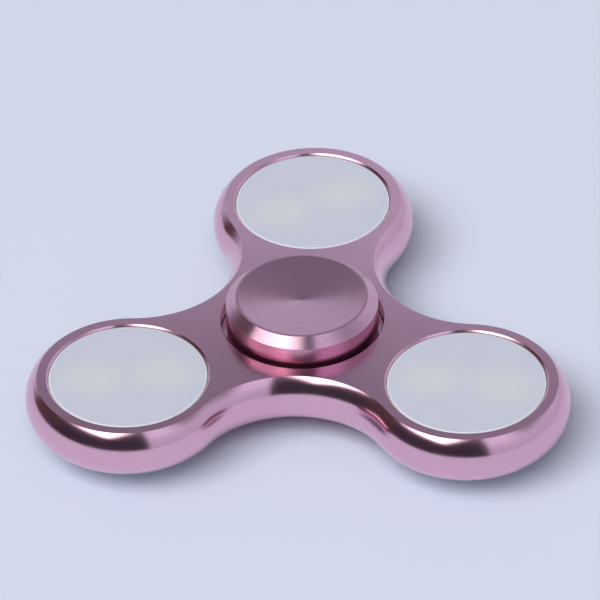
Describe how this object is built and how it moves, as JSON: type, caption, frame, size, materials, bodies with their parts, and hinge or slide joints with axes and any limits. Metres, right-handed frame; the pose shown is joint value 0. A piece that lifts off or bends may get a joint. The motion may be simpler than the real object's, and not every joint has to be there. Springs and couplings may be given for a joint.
{
  "type": "fidget spinner",
  "caption": "Lobed metal fidget spinner on a shielded ball bearing, with thumb caps and a lit, pressable milky lens in each lobe.",
  "frame": {"origin": "middle of the bearing, on the spin axis, halfway between the plate's two faces", "axes": "+Z along the spin axis, out of the lens side; +Y from the spin axis towards the middle of the first lobe"},
  "size_m": [0.0748, 0.0686, 0.015],
  "materials": {
    "rose_plate": "rose-pink anodised, satin flat faces and polished rounded sides",
    "rose_cap": "rose-pink anodised, fine turning marks in the dish and on the sloping rim",
    "bearing_steel": "ground and pressed bearing steel",
    "ball_steel": "polished bearing balls",
    "cage_brass": "machined brass",
    "milky_lens": "milky light-diffusing plastic, soft satin",
    "white_plastic": "moulded white plastic",
    "board_green": "circuit board with solder mask",
    "led_package": "warm-white lamp package with yellow phosphor",
    "black_plastic": "moulded black plastic",
    "cell_steel": "nickel-plated steel can",
    "spring_steel": "plated spring strip"
  },
  "bodies": {
    "hub": {"finger_cap_top": "rose_cap", "finger_cap_bottom": "rose_cap", "bearing_inner_ring": "bearing_steel"},
    "rotor": {"body_frame": "rose_plate", "bearing_outer_ring": "bearing_steel", "bearing_shield_top": "bearing_steel", "bearing_shield_bottom": "bearing_steel", "shield_wire_top": "spring_steel", "shield_wire_bottom": "spring_steel", "back_cover_1": "white_plastic", "module_tray_1": "white_plastic", "switch_body_1": "black_plastic", "led_left_1": "led_package", "led_right_1": "led_package", "driver_chip_1": "black_plastic", "led_board_1": "board_green", "coin_cell_1": "cell_steel", "battery_clip_1": "spring_steel", "back_cover_2": "white_plastic", "module_tray_2": "white_plastic", "switch_body_2": "black_plastic", "led_left_2": "led_package", "led_right_2": "led_package", "driver_chip_2": "black_plastic", "led_board_2": "board_green", "coin_cell_2": "cell_steel", "battery_clip_2": "spring_steel", "back_cover_3": "white_plastic", "module_tray_3": "white_plastic", "switch_body_3": "black_plastic", "led_left_3": "led_package", "led_right_3": "led_package", "driver_chip_3": "black_plastic", "led_board_3": "board_green", "coin_cell_3": "cell_steel", "battery_clip_3": "spring_steel"},
    "cage": {"bearing_cage": "cage_brass"},
    "lens_1": {"lens_cover_1": "milky_lens", "switch_plunger_1": "white_plastic"},
    "lens_2": {"lens_cover_2": "milky_lens", "switch_plunger_2": "white_plastic"},
    "lens_3": {"lens_cover_3": "milky_lens", "switch_plunger_3": "white_plastic"},
    "ball_01": {"bearing_ball_01": "ball_steel"},
    "ball_02": {"bearing_ball_02": "ball_steel"},
    "ball_03": {"bearing_ball_03": "ball_steel"},
    "ball_04": {"bearing_ball_04": "ball_steel"},
    "ball_05": {"bearing_ball_05": "ball_steel"},
    "ball_06": {"bearing_ball_06": "ball_steel"},
    "ball_07": {"bearing_ball_07": "ball_steel"},
    "ball_08": {"bearing_ball_08": "ball_steel"},
    "ball_09": {"bearing_ball_09": "ball_steel"},
    "ball_10": {"bearing_ball_10": "ball_steel"}
  },
  "joints": [
    {"name": "rotor_spin", "type": "hinge", "parent": "hub", "child": "rotor", "pos_m": [0, 0, 0], "axis": [0, 0, 1], "continuous": true},
    {"name": "cage_spin", "type": "hinge", "parent": "hub", "child": "cage", "pos_m": [0, 0, 0], "axis": [0, 0, 1], "continuous": true},
    {"name": "lens_press_1", "type": "slide", "parent": "rotor", "child": "lens_1", "axis": [0, 0, -1], "range_m": [0, 0.0004], "stiffness_N_per_m": 1200, "springref_m": -0.0002},
    {"name": "lens_press_2", "type": "slide", "parent": "rotor", "child": "lens_2", "axis": [0, 0, -1], "range_m": [0, 0.0004], "stiffness_N_per_m": 1200, "springref_m": -0.0002},
    {"name": "lens_press_3", "type": "slide", "parent": "rotor", "child": "lens_3", "axis": [0, 0, -1], "range_m": [0, 0.0004], "stiffness_N_per_m": 1200, "springref_m": -0.0002},
    {"name": "ball_roll_01", "type": "hinge", "parent": "cage", "child": "ball_01", "pos_m": [0.00476, 0, 0], "axis": [0, 0, 1], "continuous": true},
    {"name": "ball_roll_02", "type": "hinge", "parent": "cage", "child": "ball_02", "pos_m": [0.00385, 0.0028, 0], "axis": [0, 0, 1], "continuous": true},
    {"name": "ball_roll_03", "type": "hinge", "parent": "cage", "child": "ball_03", "pos_m": [0.00147, 0.00453, 0], "axis": [0, 0, 1], "continuous": true},
    {"name": "ball_roll_04", "type": "hinge", "parent": "cage", "child": "ball_04", "pos_m": [-0.00147, 0.00453, 0], "axis": [0, 0, 1], "continuous": true},
    {"name": "ball_roll_05", "type": "hinge", "parent": "cage", "child": "ball_05", "pos_m": [-0.00385, 0.0028, 0], "axis": [0, 0, 1], "continuous": true},
    {"name": "ball_roll_06", "type": "hinge", "parent": "cage", "child": "ball_06", "pos_m": [-0.00476, 0, 0], "axis": [0, 0, 1], "continuous": true},
    {"name": "ball_roll_07", "type": "hinge", "parent": "cage", "child": "ball_07", "pos_m": [-0.00385, -0.0028, 0], "axis": [0, 0, 1], "continuous": true},
    {"name": "ball_roll_08", "type": "hinge", "parent": "cage", "child": "ball_08", "pos_m": [-0.00147, -0.00453, 0], "axis": [0, 0, 1], "continuous": true},
    {"name": "ball_roll_09", "type": "hinge", "parent": "cage", "child": "ball_09", "pos_m": [0.00147, -0.00453, 0], "axis": [0, 0, 1], "continuous": true},
    {"name": "ball_roll_10", "type": "hinge", "parent": "cage", "child": "ball_10", "pos_m": [0.00385, -0.0028, 0], "axis": [0, 0, 1], "continuous": true}
  ],
  "couplings": [
    {"joint": "cage_spin", "follows": "rotor_spin", "ratio": 0.58333},
    {"joint": "ball_roll_01", "follows": "rotor_spin", "ratio": 2.9167},
    {"joint": "ball_roll_02", "follows": "rotor_spin", "ratio": 2.9167},
    {"joint": "ball_roll_03", "follows": "rotor_spin", "ratio": 2.9167},
    {"joint": "ball_roll_04", "follows": "rotor_spin", "ratio": 2.9167},
    {"joint": "ball_roll_05", "follows": "rotor_spin", "ratio": 2.9167},
    {"joint": "ball_roll_06", "follows": "rotor_spin", "ratio": 2.9167},
    {"joint": "ball_roll_07", "follows": "rotor_spin", "ratio": 2.9167},
    {"joint": "ball_roll_08", "follows": "rotor_spin", "ratio": 2.9167},
    {"joint": "ball_roll_09", "follows": "rotor_spin", "ratio": 2.9167},
    {"joint": "ball_roll_10", "follows": "rotor_spin", "ratio": 2.9167}
  ]
}
